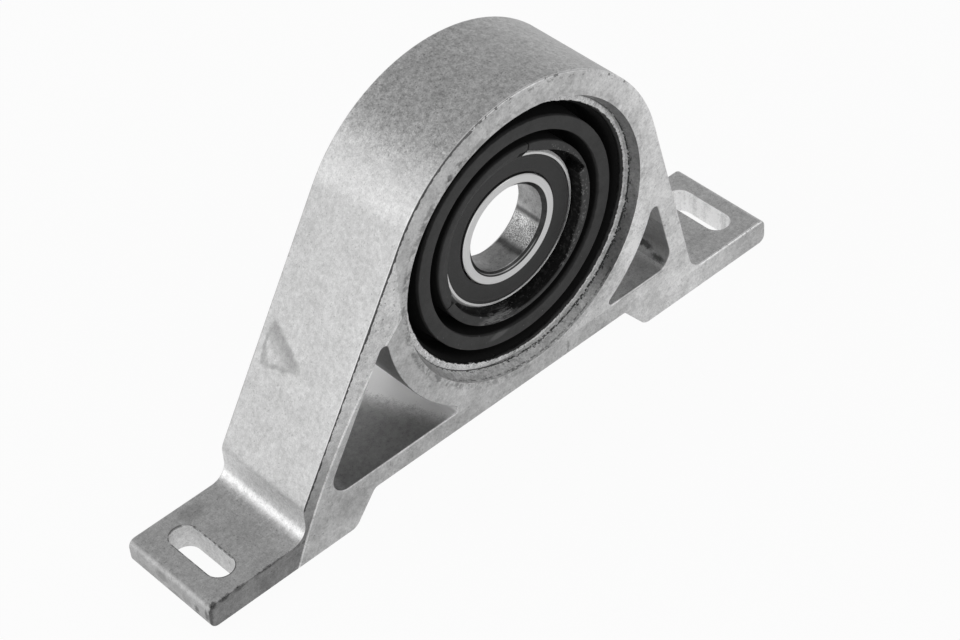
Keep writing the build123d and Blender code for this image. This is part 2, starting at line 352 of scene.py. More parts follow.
def speckle_group():
    """Speckle and cloudy mottling of a surface that no tool has cut."""
    tree, graph, entry, out = new_group("Speckle", ("Place",), ("Size", "Contrast", "Cloud", "Pits"))
    frequency = graph.ratio(1.0, entry["Size"])
    fine = graph.noise(entry["Place"], frequency, 2.0, 0.7)
    grain = graph.noise(entry["Place"], graph.product(frequency, 0.3), 2.0, 0.6)
    cloud = graph.noise(entry["Place"], graph.product(frequency, 0.07), 3.0, 0.6)
    mixed = graph.plus(graph.minus(fine, 0.5), graph.swing(grain, 0.75))
    fine_part = graph.product(mixed, entry["Contrast"])
    total = graph.plus(graph.plus(fine_part, graph.swing(cloud, entry["Cloud"])), 1.0)
    pitted = graph.span(graph.noise(entry["Place"], graph.product(frequency, 0.75), 1.0, 0.5), 0.66, 0.74)
    pit_part = graph.minus(1.0, graph.product(pitted, entry["Pits"]))
    graph.feed(out["Tone"], graph.product(total, pit_part))
    graph.feed(out["Height"], graph.product(fine, pit_part))
    return tree


def swept_lines_group():
    """Lines that run round a centre in the X-Z plane, as a cutter, a lathe or a grinding wheel leaves."""
    tree, graph, entry, out = new_group("Swept Lines", ("Place", "Centre"), ("Spacing", "Breaks", "Contrast"))
    parts = graph.add("SeparateXYZ", {0: graph.offset(entry["Place"], entry["Centre"])}).outputs
    radius = shaft_radius(graph, parts["X"], parts["Z"])
    angle = graph.math("ARCTAN2", parts["Z"], parts["X"])
    across = graph.ratio(radius, entry["Spacing"])
    along = graph.ratio(graph.product(angle, radius), entry["Breaks"])
    lines = graph.noise(graph.vector(across, along, parts["Y"]), 1.0, 2.0, 0.6)
    graph.feed(out["Tone"], graph.plus(graph.swing(lines, entry["Contrast"]), 1.0))
    graph.feed(out["Height"], lines)
    return tree


def speckle(graph, place, size, contrast, cloud, pits=0.0):
    """Tone and height of the speckle, all of it measured in millimetres."""
    return graph.group(bpy.data.node_groups.get("Speckle") or speckle_group(), {
        "Place": place, "Size": size, "Contrast": contrast, "Cloud": cloud, "Pits": pits,
    })


def swept_lines(graph, place, centre, spacing, breaks, contrast):
    """Tone and height of lines round a centre, all of it measured in millimetres."""
    return graph.group(bpy.data.node_groups.get("Swept Lines") or swept_lines_group(), {
        "Place": place, "Centre": centre, "Spacing": spacing, "Breaks": breaks, "Contrast": contrast,
    })


class Place:
    """Where a point lies, in millimetres from the middle of the bearing."""

    def __init__(self, graph):
        self.point = graph.scaled(graph.add("TexCoord").outputs["Object"], (1 / MM, 1 / MM, 1 / MM))
        parts = graph.add("SeparateXYZ", {0: self.point}).outputs
        self.x, self.y, self.z = (parts[axis] for axis in "XYZ")
        self.radius = shaft_radius(graph, self.x, self.z)


def new_material(name):
    material = bpy.data.materials.new(name)
    material.use_nodes = True
    graph = Graph(material.node_tree)
    shader = material.node_tree.nodes["Principled BSDF"]
    return material, graph, shader


def surface(graph, shader, base, metallic, roughness, height, strength=0.2, depth_mm=0.02):
    """Joins a material's colour, its gloss and its bumps to the shader."""
    bump = graph.add("Bump", {"Height": height, "Strength": strength, "Distance": depth_mm * MM})
    graph.feed(shader.inputs["Base Color"], base)
    graph.feed(shader.inputs["Metallic"], metallic)
    graph.feed(shader.inputs["Roughness"], roughness)
    graph.feed(shader.inputs["Normal"], bump.outputs["Normal"])


def colour(values):
    return (*values, 1.0)


def grey(value):
    return (value, value, value, 1.0)


class OnBracket(Place):
    """A place on the bracket, with the sizes and masks that its finishes share."""

    def __init__(self, graph, settings):
        super().__init__(graph)
        self.front = bracket_low.y / MM
        self.middle = (bracket_low.y + bracket_high.y) / 2 / MM
        self.foot_top = settings.foot_top / MM
        self.heel_top = self.foot_top + 11.5  # where the rounding between foot and leg ends
        self.sleeve = sleeve_high.x / MM
        self.mouth = self.sleeve + settings.mouth_flare / MM
        self.arch = settings.arch_radius / MM
        depth = settings.face_depth / MM
        self.on_front = graph.below(self.y, self.front + depth)
        on_rear = graph.above(self.y, bracket_high.y / MM - depth)
        self.on_face = graph.plus(self.on_front, on_rear, clamp=True)
        self.on_foot_top = graph.between(self.z, self.foot_top - 0.5, self.foot_top + 0.5, 0.3)
        self.broken = graph.span(graph.noise(self.point, 0.8, 3.0, 0.7), 0.36, 0.5)

        # How far out from the shaft, round the arch and square to the left leg below it
        sine = math.sin(settings.left_lean)
        cosine = math.cos(settings.left_lean)
        self.across = graph.plus(graph.product(self.x, -cosine), graph.product(self.z, sine))
        along = graph.plus(graph.product(self.x, -sine), graph.product(self.z, -cosine))
        self.outline = graph.blend(graph.above(along, 0.0), self.radius, self.across)


def bracket_marks(graph, at):
    """Stains, dark marks and one painted highlight: middle and half sizes in millimetres, and how dark each
    is.
    """
    drift = graph.swing(graph.noise(at.point, 0.9, 3.0, 0.7), 2.4)
    shift = graph.vector(drift, drift, drift)
    ragged_point = graph.add("VectorMath", {0: at.point, 1: shift}, operation="ADD").outputs[0]
    marks = (
        # Dark marks along the left foot's front corner and end
        ((-134.3, -14.6, -58.6), (1.7, 1.6, 2.0), 0.35), ((-129.8, -14.8, -58.9), (2.4, 1.0, 1.3), 0.4),
        ((-124.0, -14.8, -59.0), (2.6, 1.0, 1.2), 0.5), ((-135.6, -12.2, -58.2), (1.0, 1.3, 1.5), 0.45),
        ((-136.0, -8.0, -63.6), (1.0, 1.2, 1.6), 0.5), ((-136.0, -12.9, -63.0), (1.0, 1.0, 2.6), 0.5),
        ((-112.0, -14.8, -58.8), (8.0, 0.8, 0.8), 0.6), ((-135.9, 9.0, -62.0), (1.0, 3.5, 2.0), 0.75),
        ((-136.0, -7.5, -66.5), (1.0, 2.6, 1.6), 0.55), ((-136.0, -12.0, -67.0), (1.0, 2.0, 1.5), 0.5),
        ((-136.0, 3.0, -66.0), (1.0, 4.5, 2.2), 0.75), ((-136.0, -3.5, -63.5), (1.0, 2.5, 2.0), 0.85),
        ((-136.0, 17.0, -65.5), (1.0, 5.0, 2.5), 0.88), ((-136.0, -14.6, -63.0), (1.6, 0.9, 4.5), 0.5),
        # Stains on the face beside the bore's mouth
        ((-28.2, -14.7, 42.6), (1.2, 1.0, 1.7), 0.5), ((-24.4, -14.7, 45.4), (1.6, 1.0, 0.9), 0.6),
        # Dark grains on the feet's tops
        ((-114.5, 20.5, -58.5), (6.0, 3.0, 1.0), 0.78), ((84.3, -6.1, -58.5), (6.0, 4.0, 1.0), 0.92),
        ((-108.0, 3.0, -58.5), (5.0, 9.0, 1.0), 0.9),
        # Dark streaks at the heel of the right window
        ((62.2, -3.0, -46.5), (4.0, 5.0, 1.4), 0.3), ((61.5, -10.5, -48.0), (3.5, 4.0, 1.0), 0.3),
        # Darker patch on the arch
        ((-17.9, 12.8, 55.0), (20.0, 13.0, 9.0), 0.94),
        # Darker patches on the milled face
        ((-42.0, -14.7, -28.0), (2.0, 1.0, 9.0), 0.92), ((14.2, -14.7, -53.7), (0.7, 1.0, 3.0), 0.7),
        ((30.0, -14.7, -58.5), (12.0, 1.0, 3.0), 0.85), ((-78.0, -14.7, -58.0), (6.0, 1.0, 8.0), 0.85),
        # Painted highlight on the face between the bore and the right window
        ((44.5, -14.7, -20.0), (7.0, 1.0, 24.0), 1.2),
    )
    spots = ((graph.spot(ragged_point, middle, half_sizes), change) for middle, half_sizes, change in marks)
    return graph.shades(1.0, *spots)


def leg_print(graph, at):
    """Mask of the pear-shaped print on the left leg's outside, with a broad band along its upper side."""
    wobble = graph.swing(graph.noise(at.point, 0.35, 3.0, 0.6), 2.2)

    # Distances out past the print's upper, lower and rear sides, which meet in rounded corners
    y = graph.minus(at.y, 22.2)
    z = graph.plus(at.z, 6.3)
    upper = graph.plus(graph.product(y, -0.415), graph.product(z, 0.91))
    lower = graph.minus(graph.minus(graph.product(y, -0.305), graph.product(z, 0.952)), 13.6)
    reach = graph.plus(graph.smooth_most(graph.smooth_most(lower, y, 8.0), upper, 6.0), wobble)
    line = graph.product(graph.between(reach, -1.0, 0.3, 0.5), 0.8)
    band = graph.product(graph.span(upper, -6.5, -0.8), graph.span(reach, -0.5, 1.0, 1.0, 0.0))
    return graph.product(graph.most(line, band), graph.below(at.x, -66.0))


def slot_rim(graph, settings, at):
    """Mask of the dark broken line round the top of the left slot."""
    half_straight = (settings.slot_length - settings.slot_width) / 2 / MM
    across = graph.minus(at.x, settings.left_slot_x / MM)
    past_end = graph.minus(graph.math("ABSOLUTE", graph.minus(at.y, at.middle)), half_straight)
    reach = graph.reach(graph.vector(across, graph.most(past_end, 0.0)))
    half_width = settings.slot_width / 2 / MM
    broken = graph.span(graph.noise(at.point, 0.5, 3.0, 0.6), 0.42, 0.52)
    return graph.product(
        graph.between(reach, half_width - 0.15, half_width + 0.35, 0.1), broken,
        graph.between(at.z, at.foot_top - 0.7, at.foot_top + 0.3, 0.05),
    )


def slot_wall(graph, settings, at, slot_x, beside, past_end, soft):
    """Mask of a slot's wall, in a box that reaches a little beside the slot and past its ends."""
    half_width = settings.slot_width / 2 / MM + beside
    half_length = settings.slot_length / 2 / MM + past_end
    return graph.product(
        graph.between(at.x, slot_x / MM - half_width, slot_x / MM + half_width, soft),
        graph.between(at.y, at.middle - half_length, at.middle + half_length, 0.1),
        graph.below(at.z, at.foot_top - 0.2),
    )


def cast_skin(graph, settings, at):
    """Tone and height of the cast skin. The arch is speckled darkest, then the feet's tops."""
    risen = graph.plus(at.z, graph.product(at.y, 0.06))
    weather = graph.product(graph.span(risen, 40.0, 53.0), graph.span(at.x, -45.0, 40.0, 1.0, 0.6))
    weather = graph.plus(weather, graph.product(at.on_foot_top, 0.3))
    contrast = graph.plus(graph.product(weather, 0.55), 0.75)
    pits = graph.span(weather, 0.0, 1.0, 0.28, 0.5)
    skin = speckle(graph, at.point, settings.grain_size / MM, contrast, 0.3, pits)
    flecks = graph.span(graph.noise(graph.scaled(at.point, (1.0, 0.55, 1.0)), 0.95, 3.0, 0.7), 0.5, 0.64)
    darker = graph.minus(1.0, graph.product(flecks, weather, 0.22))
    lighter = graph.plus(graph.product(weather, 0.14), 1.0)
    tone_value = graph.product(graph.most(skin["Tone"], 0.2), darker, lighter)
    # Painted light on the skin: a painted highlight on the left shoulder, on the left heel's rounding and on
    # the strip above the left foot, the right foot's top painted lighter, and painted shade on the left
    # foot's end face
    shoulder = graph.product(graph.between(risen, 34.0, 48.5, 3.0), graph.below(at.x, 0.0))
    on_left_foot = graph.below(at.x, LEFT_HEEL)
    on_right_foot = graph.above(at.x, RIGHT_HEEL)
    painted_heel_highlight = graph.product(graph.between(at.z, at.foot_top + 1.5, at.heel_top, 0.8), on_left_foot)
    painted_heel_foot_highlight = graph.product(graph.between(at.z, at.foot_top + 0.5, at.foot_top + 3.5, 0.7), on_left_foot)
    tone_value = graph.shades(
        tone_value, (leg_print(graph, at), 0.66), (shoulder, 1.25), (graph.below(at.x, LEFT_END), 0.82),
        (slot_rim(graph, settings, at), 0.4), (graph.product(at.on_foot_top, on_right_foot), 1.12),
        (painted_heel_highlight, 1.28), (painted_heel_foot_highlight, 1.2),
    )
    return tone_value, skin["Height"]


def inner_walls(graph, settings, at, tone_value):
    """Painted light inside the bracket: painted reflections make the slot walls bright, the right one
    streaked, and the windows' insides get painted shade towards the left leg and a painted highlight on the
    left window's floor.
    """
    right_slot = slot_wall(graph, settings, at, settings.right_slot_x, 0.3, 0.5, 0.05)
    left_slot = slot_wall(graph, settings, at, settings.left_slot_x, 0.65, 0.8, 0.1)
    streaks = graph.noise(graph.scaled(at.point, (1.0, 0.22, 0.03)), 1.0, 2.0, 0.5)
    # Painted reflection on the slot walls
    tone_value = graph.shade(tone_value, right_slot, 1.7)
    streaked = graph.product(tone_value, graph.span(streaks, 0.35, 0.6, 0.85, 1.1))
    tone_value = graph.blend(right_slot, tone_value, streaked)
    # Painted shade inside the windows, darker towards the left leg and lighter towards the right
    leftward = graph.plus(at.x, graph.product(at.y, 0.388))
    inside = graph.product(
        graph.below(at.across, at.arch - 4.0), graph.below(at.z, 0.0), graph.above(at.z, WEB_TOP - 1.1),
        graph.above(at.radius, at.sleeve + 3.0), graph.below(at.x, RIGHT_HEEL - 1.2),
    )
    painted_window_shade = graph.blend(inside, 1.0, graph.span(leftward, -54.0, -34.0, 0.62, 1.35))
    painted_left_floor_highlight = graph.product(
        graph.between(at.z, WEB_TOP - 0.6, WEB_TOP + 1.4, 0.5), graph.span(leftward, -50.0, -33.0),
        graph.below(at.x, -25.0),
    )
    return graph.shades(graph.product(tone_value, painted_window_shade), (painted_left_floor_highlight, 2.3), (left_slot, 1.3))


def milled_face(graph, settings, at):
    """Tone and height of the milled faces, with painted light and shade across them. Past the cutter's sweep,
    on the left, the raw casting shows.
    """
    milled = speckle(graph, at.point, size=0.6, contrast=0.7, cloud=0.7, pits=0.25)
    centre = (settings.sweep_centre_x / MM, 0.0, settings.sweep_centre_z / MM)
    lines = swept_lines(graph, at.point, centre, settings.mill_spacing / MM, breaks=5.0, contrast=0.16)
    # Painted light on the face: darker to the left and lighter to the right, a painted highlight between the
    # bore and the right window, and darker again over the right foot
    tone_value = graph.product(milled["Tone"], lines["Tone"], graph.span(at.x, -105.0, 62.0, 0.88, 1.14))
    tone_value = graph.shades(
        tone_value, (graph.between(at.x, 42.0, 66.0, 8.0), 1.14), (graph.span(at.x, 72.0, 100.0), 0.72),
    )
    sweep = graph.reach(graph.scaled(graph.offset(at.point, centre), (1.0, 0.0, 1.0)))
    reach = settings.sweep_radius / MM
    left_side = graph.product(at.on_front, graph.below(at.x, settings.sweep_end_x / MM))
    raw = speckle(graph, at.point, size=0.6, contrast=0.9, cloud=0.9, pits=0.45)
    # Painted shade on the raw casting: darker towards the bottom
    raw_tone_with_painted_shade = graph.product(raw["Tone"], graph.span(at.z, -58.0, -12.0, 0.42, 1.16))
    tone_value = graph.blend(graph.product(left_side, graph.above(sweep, reach)), tone_value, raw_tone_with_painted_shade)
    sweep_edge = graph.product(left_side, graph.between(sweep, reach - 0.45, reach + 0.1, 0.12))
    round_mouth = graph.product(
        graph.between(at.radius, at.mouth, at.mouth + 2.2, 0.6), graph.span(at.x, -35.0, 10.0, 1.0, 0.35),
        graph.span(graph.noise(at.point, 0.45, 3.0, 0.65), 0.42, 0.6),
    )
    # Painted shade below the web and along the face's top
    painted_shade_under_web = graph.product(graph.below(at.z, -50.0), graph.between(at.x, -62.0, 62.0, 6.0))
    dots = graph.product(
        graph.between(at.outline, at.arch - 2.0, at.arch - 1.2, 0.2), graph.between(at.x, -12.0, 40.0, 4.0),
        graph.span(graph.noise(at.point, 0.7, 2.0, 0.6), 0.55, 0.62),
    )
    tone_value = graph.shades(
        tone_value, (sweep_edge, 1.5), (round_mouth, 0.55), (painted_shade_under_web, 0.88),
        (graph.span(at.z, 44.0, 54.0), 0.92), (dots, 0.6),
    )
    return tone_value, milled["Height"]


def front_edges(graph, settings, at, mixed):
    """Lines along the front edges: bright on the arch and the right foot, from wear and a painted highlight;
    painted shade on the right window's sill; dark on the left.
    """
    in_rim = graph.below(at.y, at.front + settings.rim_width / MM)
    # Painted shade over the rounded sill of the right window
    painted_sill_shade = graph.product(
        in_rim, graph.between(at.z, WEB_TOP - 0.8, WEB_TOP + 0.2, 0.15),
        graph.between(at.x, 38.0, RIGHT_HEEL - 1.5, 1.0), 0.35,
    )
    # Wear and a painted highlight on the arch's rounded rim
    worn_rim_and_painted_highlight = graph.product(
        in_rim, graph.minus(1.0, at.on_front), at.broken, graph.span(at.x, -34.0, -18.0, 0.12, 0.85),
        graph.span(at.z, -30.0, -20.0),
    )
    foot_edge = graph.product(in_rim, graph.between(at.z, at.foot_top - 0.8, at.foot_top + 0.2, 0.15))
    unbroken = graph.span(at.broken, 0.2, 0.8, 1.0, 0.0)
    left_edge = graph.product(foot_edge, graph.below(at.x, LEFT_HEEL + 1.0), unbroken, 0.8)
    right_edge = graph.product(foot_edge, graph.above(at.x, RIGHT_HEEL + 10.0), at.broken, 0.8)

    # A dark line of painted shade follows the left leg and the arch, and breaks up towards the arch's top
    line_width = graph.span(graph.noise(at.point, 0.4, 3.0, 0.6), 0.35, 0.65, 0.45, 1.0)
    dashes = graph.noise(graph.scaled(at.point, (1.0, 0.2, 1.0)), 0.5, 3.0, 0.6)
    painted_edge_shade_line = graph.product(
        graph.above(graph.plus(at.outline, line_width), at.arch), graph.below(at.x, 45.0),
        graph.above(at.z, at.heel_top), graph.below(at.y, at.front + 0.3),
        graph.span(graph.minus(dashes, graph.span(at.x, -30.0, -8.0, -0.3, 0.14)), 0.42, 0.5),
        graph.span(at.x, -50.0, 20.0, 0.92, 0.65),
    )
    for mask, value in (
        (painted_sill_shade, 0.12), (worn_rim_and_painted_highlight, 0.95), (left_edge, 0.1), (right_edge, 0.95), (painted_edge_shade_line, 0.06),
    ):
        mixed = graph.mix(mask, mixed, grey(value))
    return mixed


def bore_mouth(graph, settings, at):
    """Colour of the flared mouth, with painted light that changes with height, painted shade in the gap round
    the sleeve and a burr on its lower right.
    """
    turned = speckle(graph, at.point, size=0.8, contrast=1.3, cloud=0.6, pits=0.4)
    ragged_radius = graph.plus(at.radius, graph.swing(at.broken, 0.3))
    side = lower_right(graph, at)
    burr_end = graph.plus(graph.product(side, 0.4), at.sleeve)
    burr = graph.below(ragged_radius, burr_end)
    # Painted shade in the gap round the sleeve
    gap = graph.below(ragged_radius, graph.plus(burr_end, 0.22))
    # Painted light on the mouth: lighter towards the bottom, and on the right also towards the top
    painted_light_left = graph.span(at.z, -46.0, -10.0, 3.1, 1.25)
    painted_light_right = graph.span(at.z, -45.0, -33.0, 3.0, 0.62)
    painted_light_right = graph.product(painted_light_right, graph.span(at.z, -24.0, -6.0, 1.0, 2.0))
    light = graph.blend(graph.span(at.x, -5.0, 15.0), painted_light_left, painted_light_right)
    turned_tone = graph.product(graph.most(turned["Tone"], 0.05), light)
    edge_line = graph.product(
        graph.between(ragged_radius, at.mouth - 0.28, at.mouth - 0.1, 0.05), graph.below(at.z, -34.0),
        graph.span(graph.noise(at.point, 0.5, 2.0, 0.6), 0.4, 0.5),
    )
    turned_tone = graph.shades(turned_tone, (gap, 0.12), (edge_line, 0.4))
    torn_tone = graph.most(graph.product(turned["Tone"], 0.55), 0.08)
    turned_colour = graph.tint(settings.bore_colour, turned_tone)
    return graph.mix(graph.product(burr, side), turned_colour, graph.tint((1.0, 1.0, 1.0), torn_tone))


def aluminium_material(settings):
    """Cast skin, milled front and rear faces, and the flared mouth of the bore."""
    material, graph, shader = new_material("cast aluminium")
    at = OnBracket(graph, settings)
    skin_tone, skin_height = cast_skin(graph, settings, at)
    skin_tone = inner_walls(graph, settings, at, skin_tone)
    face_tone, face_height = milled_face(graph, settings, at)
    skin_colour = graph.tint(settings.skin_colour, skin_tone)
    face_colour = graph.tint(settings.face_colour, face_tone)
    mixed = front_edges(graph, settings, at, graph.mix(at.on_face, skin_colour, face_colour))
    in_bore = graph.below(at.radius, at.mouth - 0.05)
    mixed = graph.mix(in_bore, mixed, bore_mouth(graph, settings, at))
    surface(
        graph, shader, graph.tint(mixed, bracket_marks(graph, at)), graph.shade(1.0, in_bore, 0.25),
        graph.span(skin_height, 0.3, 0.7, 0.42, 0.54), graph.blend(at.on_face, skin_height, face_height),
        strength=0.5, depth_mm=0.08,
    )
    return material


def steel_material(name, base, spacing_mm, contrast, roughness):
    """Ground or turned steel with fine rings round the shaft."""
    material, graph, shader = new_material(name)
    at = Place(graph)
    lines = swept_lines(graph, at.point, SHAFT, spacing_mm, breaks=20.0, contrast=contrast)
    surface(graph, shader, graph.tint(base, lines["Tone"]), 1.0, roughness, lines["Height"])
    return material


def lower_right(graph, at):
    """1 on the ring's lower right, fading out at its top and its lower left."""
    reach = graph.minus(graph.product(at.x, 0.85), graph.product(at.z, 0.53))
    return graph.span(graph.ratio(reach, at.radius), 0.0, 0.7)


def torn_steel_material(settings):
    """The sleeve: drawn steel, whose front edge is torn bright with black specks."""
    material, graph, shader = new_material("sleeve steel")
    at = Place(graph)
    torn = speckle(graph, at.point, size=0.45, contrast=1.5, cloud=0.7, pits=0.75)
    at_front = graph.below(at.y, sleeve_low.y / MM + 1.2)
    film = graph.plus(lower_right(graph, at), 0.15)
    film = graph.plus(film, graph.swing(graph.noise(at.point, 0.7, 3.0, 0.7), 1.6))
    covered = graph.below(at.radius, graph.plus(film, (sleeve_high.x - settings.wall) / MM))
    edge_tone = graph.shade(graph.most(torn["Tone"], 0.12), covered, 0.02)
    shell_tone = graph.product(graph.plus(torn["Tone"], 1.0), 0.35)
    tone_value = graph.blend(at_front, shell_tone, edge_tone)
    surface(
        graph, shader, graph.tint(settings.colour, tone_value), graph.span(at_front, 0.0, 1.0, 1.0, 0.25),
        graph.span(torn["Height"], 0.3, 0.7, 0.35, 0.6), torn["Height"], strength=0.8, depth_mm=0.12,
    )
    return material


def ring_steel_material(settings):
    """Ground steel of the bearing's rings, with chamfers painted dark as shade and a stained shaft's seat
    with painted reflections and shade.
    """
    material, graph, shader = new_material("ground steel")
    at = Place(graph)
    seat = settings.bore_radius / MM
    chamfer = settings.bore_chamfer / MM
    lines = swept_lines(graph, at.point, SHAFT, settings.grind_spacing / MM, breaks=20.0, contrast=0.25)
    stain = speckle(graph, at.point, size=0.5, contrast=1.0, cloud=1.1, pits=0.4)
    angle = graph.math("DEGREES", graph.math("ARCTAN2", at.z, at.x))
    in_seat = graph.below(at.radius, seat + 0.15)
    in_chamfer = graph.between(at.radius, seat + 0.15, seat + chamfer, 0.02)
    # A painted glint on the chamfer, lit below
    lit_below = graph.between(angle, -150.0, -50.0, 10.0)
    painted_chamfer_glint = graph.product(graph.between(at.radius, seat + 0.8, seat + 1.0, 0.06), lit_below, 0.5)

    # Round the seat, painted reflection and shade: grey above, a bright grainy patch between two dark bands
    # on the right, darker below
    painted_shadow_bands = graph.plus(graph.between(angle, -26.0, -20.0, 2.5), graph.between(angle, -74.0, -65.0, 3.5))
    painted_reflection_patch = graph.between(angle, -62.0, -28.0, 3.0)
    sparkle = graph.span(graph.noise(at.point, 2.6, 1.0, 0.5), 0.3, 0.7, 0.45, 1.6)
    # Painted shade on the seat's lower part
    below = graph.between(angle, -140.0, -72.0, 4.0)
    seat_tone = graph.shades(stain["Tone"], (painted_shadow_bands, 0.35), (painted_reflection_patch, 1.25), (below, 0.8))
    seat_tone = graph.most(graph.product(seat_tone, graph.blend(painted_reflection_patch, 1.0, sparkle)), 0.1)

    # The outer ring's edge is worn bright with a painted highlight, and painted shade makes it dark where it
    # meets the rubber
    outer = race_high.x / MM
    on_outer = graph.above(at.radius, outer - 1.0)
    worn_and_painted_highlight = graph.product(on_outer, graph.below(at.radius, outer - 0.04))
    mixed = graph.tint(settings.steel_colour, lines["Tone"])
    for mask, over in (
        (in_seat, graph.tint(settings.bore_colour, seat_tone)),
        (in_chamfer, graph.tint(settings.chamfer_shade_colour, stain["Tone"])),
        (graph.product(in_chamfer, painted_chamfer_glint), colour(settings.steel_colour)),
        (on_outer, grey(0.12)), (worn_and_painted_highlight, grey(0.95)),
    ):
        mixed = graph.mix(mask, mixed, over)
    roughness = graph.span(in_seat, 0.0, 1.0, 0.3, 0.42)
    surface(graph, shader, mixed, graph.shade(1.0, worn_and_painted_highlight, 0.2), roughness, lines["Height"])
    return material


def rubber_material(name, base, grain_mm, roughness, depth_mm):
    """Plain moulded rubber with a fine grain."""
    material, graph, shader = new_material(name)
    at = Place(graph)
    grain = speckle(graph, at.point, grain_mm, contrast=0.5, cloud=0.5)
    roughness = graph.span(grain["Height"], 0.3, 0.7, roughness - 0.08, roughness + 0.08)
    base = graph.tint(base, grain["Tone"])
    surface(graph, shader, base, 0.0, roughness, grain["Height"], strength=0.5, depth_mm=depth_mm)
    return material


def mount_rubber_material(settings):
    """Moulded rubber with pale specks of dust, and pockets and grooves painted black as shade, with a few
    damp-looking painted highlights in the pockets.
    """
    material, graph, shader = new_material("mount rubber")
    at = Place(graph)
    race_r = race_high.x / MM
    front = (bracket_low.y + settings.collar_inset) / MM
    collar_r = race_r + settings.collar_wall / MM
    grain = speckle(graph, at.point, size=0.45, contrast=0.6, cloud=0.7)

    # The collar's pockets and the insides of the two grooves are painted black as shade
    in_pocket = graph.product(
        graph.between(at.radius, race_r - 0.2, collar_r - 0.3, 0.05),
        graph.between(at.y, front + 0.4, front + settings.pocket_depth / MM + 0.4, 0.2),
        graph.plus(graph.above(at.x, 4.0), graph.below(at.z, -14.0), clamp=True),
    )
    groove_end = (rubber_low.y + settings.groove_depth) / MM + 1.5
    in_lining = graph.above(at.radius, (rubber_high.x - settings.lining) / MM - 0.3)
    in_groove = graph.product(
        graph.above(at.radius, collar_r - 0.15), graph.below(at.y, groove_end),
        graph.most(graph.span(at.y, front + 0.3, front + 1.6), in_lining),
    )
    dark = graph.most(in_pocket, in_groove)
    tone_value = graph.shade(grain["Tone"], dark, 0.06)

    # Pale marks: painted glints and a painted sheen in the pockets, dust, the torn rim, the rough stretch's
    # ridges and a smear
    painted_glints = graph.product(graph.span(graph.noise(at.point, 1.5, 2.0, 0.6), 0.64, 0.76), in_pocket, 0.8)
    painted_wet_sheen = graph.product(graph.span(graph.noise(at.point, 0.6, 3.0, 0.7), 0.5, 0.7), in_pocket, 0.14)
    painted_glints = graph.most(painted_glints, painted_wet_sheen)
    specks = graph.plus(graph.noise(at.point, 0.9, 2.0, 0.5), graph.span(at.z, -22.0, -8.0, 0.05, 0.0))
    dust = graph.product(graph.span(specks, 0.74, 0.8), graph.minus(1.0, dark))
    torn_rim = graph.product(
        graph.between(at.radius, race_r + 1.0, race_r + 3.4, 0.5), graph.above(at.x, 17.0),
        graph.below(at.y, front + 0.8), graph.span(graph.noise(at.point, 1.2, 2.0, 0.6), 0.54, 0.64),
    )
    rough_patch = graph.spot(at.point, (-11.0, front, -29.5), (12.5, 3.0, 5.0))
    round_ring = graph.minus(graph.product(at.x, 0.906), graph.product(at.z, 0.423))
    drawn_out = graph.scaled(graph.vector(round_ring, at.y, at.radius), (0.3, 1.0, 1.3))
    ridges = graph.product(
        graph.span(graph.noise(drawn_out, 1.0, 3.0, 0.7), 0.47, 0.58), rough_patch,
        graph.below(at.radius, collar_r + 0.2),
    )
    smear = graph.product(graph.spot(at.point, (-10.2, rubber_low.y / MM, -35.2), (4.5, 1.0, 1.3)), 0.4)
    light = graph.most(painted_glints, dust, graph.product(ridges, 0.9), torn_rim, smear)
    mixed = graph.mix(light, graph.tint(settings.colour, tone_value), grey(0.17))
    matt = graph.span(dark, 0.0, 1.0, 0.6, 0.95)
    roughness = graph.minus(matt, graph.product(painted_glints, 0.6))
    height = graph.plus(grain["Height"], graph.product(ridges, 3.0))
    shader.inputs["Specular IOR Level"].default_value = 0.3
    surface(graph, shader, mixed, 0.0, roughness, height, strength=0.5, depth_mm=0.05)
    return material


def give(obj, material):
    """Puts one material on the whole piece."""
    obj.data.materials.clear()
    obj.data.materials.append(material)
    for polygon in obj.data.polygons:
        polygon.material_index = 0


def rounded_outline(corners, segments=3):
    """The closed outline of (radius, y, rounding) corners, each turned into an arc of segments."""
    outline = []
    count = len(corners)
    for index, (radius, y, rounding) in enumerate(corners):
        here = Vector((radius, y))
        before = Vector(corners[index - 1][:2]) - here
        after = Vector(corners[(index + 1) % count][:2]) - here
        reach = min(rounding, before.length * 0.45, after.length * 0.45)
        start = here + before.normalized() * reach
        end = here + after.normalized() * reach
        for step in range(segments + 1):
            t = step / segments
            outline.append(start * (1 - t) ** 2 + here * 2 * t * (1 - t) + end * t ** 2)
    return outline


